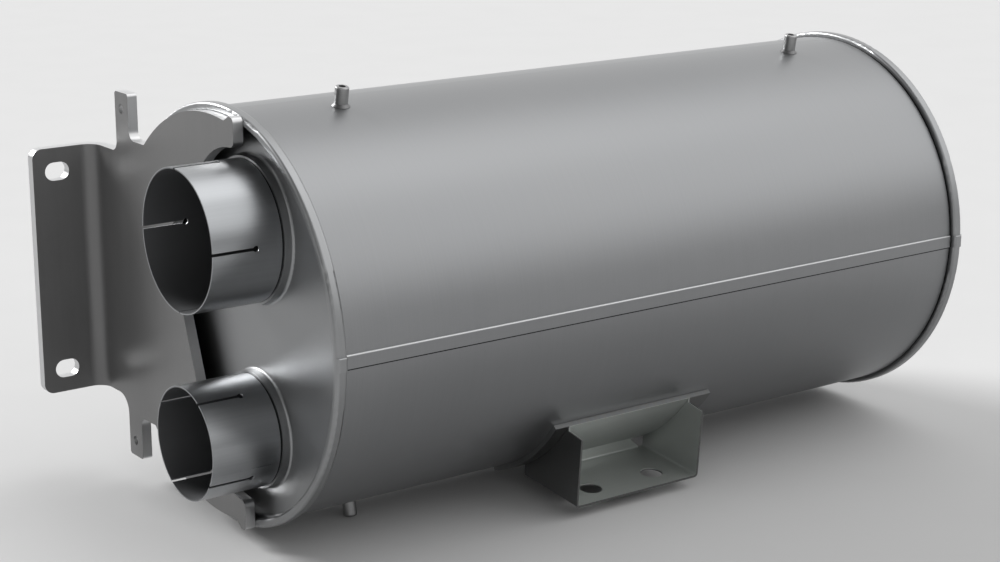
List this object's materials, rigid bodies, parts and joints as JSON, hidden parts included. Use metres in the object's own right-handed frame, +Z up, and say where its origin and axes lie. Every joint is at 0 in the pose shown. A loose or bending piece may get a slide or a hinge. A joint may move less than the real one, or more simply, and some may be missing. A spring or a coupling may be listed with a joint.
{
  "type": "catalytic muffler",
  "caption": "Round catalytic muffler with two slit pipe sockets in one end, a bent mounting plate, a saddle bracket and threaded bosses.",
  "frame": {"origin": "on the outer face of the mounting plate's flange, midway between its two slotted holes", "axes": "+X along the drum from the socket end to the closed end, +Y out of the flange's outer face, +Z up along the two slots"},
  "size_m": [0.8376, 0.4437, 0.4144],
  "materials": {
    "shell_steel": "satin rolled stainless sheet",
    "cap_steel": "satin drawn sheet",
    "socket_steel": "satin drawn tube",
    "plate_steel": "dull thick plate with cut edges",
    "saddle_steel": "satin bent sheet",
    "boss_steel": "turned",
    "inner_steel": "plain sheet, dull",
    "fibre_mat": "needled mineral fibre",
    "monolith_ceramic": "unglazed extruded ceramic"
  },
  "bodies": {
    "root": {"shell_wrap": "shell_steel", "near_end_cap": "cap_steel", "far_end_cap": "cap_steel", "upper_socket_pipe": "socket_steel", "lower_socket_pipe": "socket_steel", "mounting_plate": "plate_steel", "saddle_cradle": "saddle_steel", "saddle_box": "saddle_steel", "boss_top_near": "boss_steel", "boss_top_far": "boss_steel", "boss_bottom": "boss_steel", "baffle_near": "inner_steel", "baffle_mid": "inner_steel", "baffle_far": "inner_steel", "catalyst_can_left": "inner_steel", "catalyst_can_right": "inner_steel", "support_mat_left": "fibre_mat", "support_mat_right": "fibre_mat", "monolith_left": "monolith_ceramic", "monolith_right": "monolith_ceramic", "outlet_tube": "inner_steel", "inner_liner": "inner_steel", "insulation_mat": "fibre_mat"}
  },
  "joints": []
}
